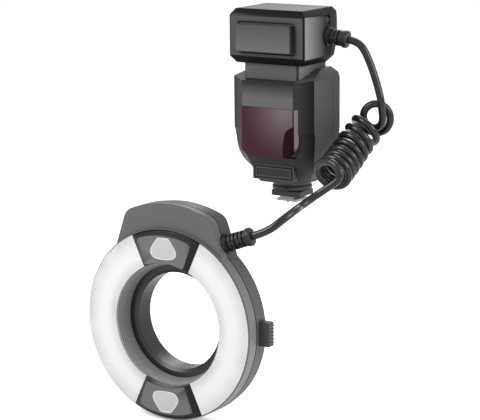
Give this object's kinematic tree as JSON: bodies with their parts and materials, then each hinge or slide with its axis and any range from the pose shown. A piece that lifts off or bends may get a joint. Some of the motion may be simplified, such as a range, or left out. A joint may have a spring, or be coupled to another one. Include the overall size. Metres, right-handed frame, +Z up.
{
  "type": "macro ring flash",
  "caption": "Macro ring flash: a shoe-mounted control unit joined by a curly cord to a round flash head for the front of a lens.",
  "frame": {"origin": "centre of the shoe foot's bottom face", "axes": "+Z up, the control unit and the ring head face -Y, +X is the side of the cord"},
  "size_m": [0.1697, 0.205, 0.2924],
  "materials": {
    "black_plastic": "satin",
    "grey_plastic": "satin",
    "fine_black_plastic": "satin",
    "button_rubber": "matte",
    "cord_rubber": "satin",
    "red_window": "gloss",
    "white_diffuser": "satin",
    "clear_lens": "gloss",
    "display_clear": "gloss",
    "display_glass": "gloss",
    "tube_glass": "gloss",
    "lamp_epoxy": "gloss",
    "bright_metal": "polished",
    "black_metal": "anodised",
    "foot_metal": "brushed",
    "screw_steel": "dark",
    "contact_metal": "polished",
    "board_green": "satin",
    "cell_wrap": "gloss",
    "capacitor_sleeve": "gloss",
    "transformer_tape": "matte"
  },
  "bodies": {
    "ring_flash": {"af_window": "red_window", "aiming_lamp_block": "black_plastic", "aiming_lamp_lenses": "clear_lens", "battery_cells": "cell_wrap", "battery_contacts": "contact_metal", "body_front_shell": "black_plastic", "body_rear_shell": "black_plastic", "bore_sleeve": "fine_black_plastic", "charging_transformer": "transformer_tape", "cord_coil": "cord_rubber", "cord_lower": "cord_rubber", "cord_upper": "cord_rubber", "diffuser_left": "white_diffuser", "diffuser_right": "white_diffuser", "display_module": "display_glass", "display_window": "display_clear", "door_hinge_pin": "foot_metal", "flash_capacitor": "capacitor_sleeve", "flash_tube_left": "tube_glass", "flash_tube_right": "tube_glass", "focus_lamps": "lamp_epoxy", "foot_pedestal": "black_plastic", "front_panel": "black_plastic", "head_front_panel": "grey_plastic", "head_front_shell": "black_plastic", "head_rear_shell": "black_plastic", "head_side_screws": "screw_steel", "head_strain_relief": "cord_rubber", "lamp_lens_bottom": "clear_lens", "lamp_lens_top": "clear_lens", "lamp_plate_bottom": "grey_plastic", "lamp_plate_top": "grey_plastic", "lower_front_cover": "black_plastic", "main_board": "board_green", "neck_block": "grey_plastic", "reflector_left": "bright_metal", "reflector_right": "bright_metal", "ring_circuit_board": "board_green", "ring_front_shell": "black_plastic", "ring_rear_shell": "black_plastic", "ring_screws": "screw_steel", "ring_strain_relief": "cord_rubber", "shoe_foot": "foot_metal", "tube_sockets": "cord_rubber"},
    "adapter_ring_body": {"adapter_ring": "black_metal"},
    "battery_door_body": {"battery_door": "black_plastic"},
    "button_1_body": {"button_1": "button_rubber"},
    "button_2_body": {"button_2": "button_rubber"},
    "button_3_body": {"button_3": "button_rubber"},
    "button_4_body": {"button_4": "button_rubber"},
    "contact_pins_body": {"contact_pins": "contact_metal"},
    "lock_pin_body": {"lock_pin": "foot_metal"},
    "lock_plate_body": {"lock_plate": "black_plastic"},
    "lock_wheel_body": {"lock_wheel": "fine_black_plastic"},
    "power_switch_body": {"power_switch": "black_plastic"},
    "release_tab_left_body": {"release_tab_left": "fine_black_plastic"},
    "release_tab_right_body": {"release_tab_right": "fine_black_plastic"},
    "select_dial_body": {"select_dial": "fine_black_plastic"},
    "set_button_body": {"set_button": "button_rubber"},
    "test_button_body": {"test_button": "button_rubber"}
  },
  "joints": [
    {"name": "adapter_turn", "type": "hinge", "parent": "ring_flash", "child": "adapter_ring_body", "pos_m": [0, -0.1576, -0.0646], "axis": [0, 1, 0], "continuous": true},
    {"name": "release_right", "type": "slide", "parent": "ring_flash", "child": "release_tab_right_body", "axis": [-1, 0, 0], "range_m": [0, 0.002], "stiffness_N_per_m": 400},
    {"name": "release_left", "type": "slide", "parent": "ring_flash", "child": "release_tab_left_body", "axis": [1, 0, 0], "range_m": [0, 0.002], "stiffness_N_per_m": 400},
    {"name": "lock_wheel_turn", "type": "hinge", "parent": "ring_flash", "child": "lock_wheel_body", "pos_m": [0, 0, 0.0112], "axis": [0, 0, 1], "range_deg": [-270, 0]},
    {"name": "lock_plate_lift", "type": "slide", "parent": "ring_flash", "child": "lock_plate_body", "axis": [0, 0, 1], "range_m": [0, 0.0008]},
    {"name": "lock_pin_lift", "type": "slide", "parent": "ring_flash", "child": "lock_pin_body", "axis": [0, 0, 1], "range_m": [0, 0.0014]},
    {"name": "contacts_press", "type": "slide", "parent": "ring_flash", "child": "contact_pins_body", "axis": [0, 0, 1], "range_m": [0, 0.0005], "stiffness_N_per_m": 200},
    {"name": "battery_door_swing", "type": "hinge", "parent": "ring_flash", "child": "battery_door_body", "pos_m": [-0.0351, 0.0095, 0.055], "axis": [0, 0, 1], "range_deg": [-90, 0]},
    {"name": "power_switch_slide", "type": "slide", "parent": "ring_flash", "child": "power_switch_body", "axis": [0, 0, 1], "range_m": [0, 0.005]},
    {"name": "select_dial_turn", "type": "hinge", "parent": "ring_flash", "child": "select_dial_body", "pos_m": [0, 0.018, 0.043], "axis": [0, 1, 0], "continuous": true},
    {"name": "set_button_press", "type": "slide", "parent": "ring_flash", "child": "set_button_body", "axis": [0, -1, 0], "range_m": [0, 0.0005], "stiffness_N_per_m": 300},
    {"name": "test_button_press", "type": "slide", "parent": "ring_flash", "child": "test_button_body", "axis": [0, -1, 0], "range_m": [0, 0.0005], "stiffness_N_per_m": 300},
    {"name": "button_1_press", "type": "slide", "parent": "ring_flash", "child": "button_1_body", "axis": [0, -1, 0], "range_m": [0, 0.0005], "stiffness_N_per_m": 300},
    {"name": "button_2_press", "type": "slide", "parent": "ring_flash", "child": "button_2_body", "axis": [0, -1, 0], "range_m": [0, 0.0005], "stiffness_N_per_m": 300},
    {"name": "button_3_press", "type": "slide", "parent": "ring_flash", "child": "button_3_body", "axis": [0, -1, 0], "range_m": [0, 0.0005], "stiffness_N_per_m": 300},
    {"name": "button_4_press", "type": "slide", "parent": "ring_flash", "child": "button_4_body", "axis": [0, -1, 0], "range_m": [0, 0.0005], "stiffness_N_per_m": 300}
  ],
  "couplings": [
    {"joint": "lock_plate_lift", "follows": "lock_wheel_turn", "m_per_rad": -0.00016552},
    {"joint": "lock_pin_lift", "follows": "lock_wheel_turn", "m_per_rad": -0.00028966}
  ]
}
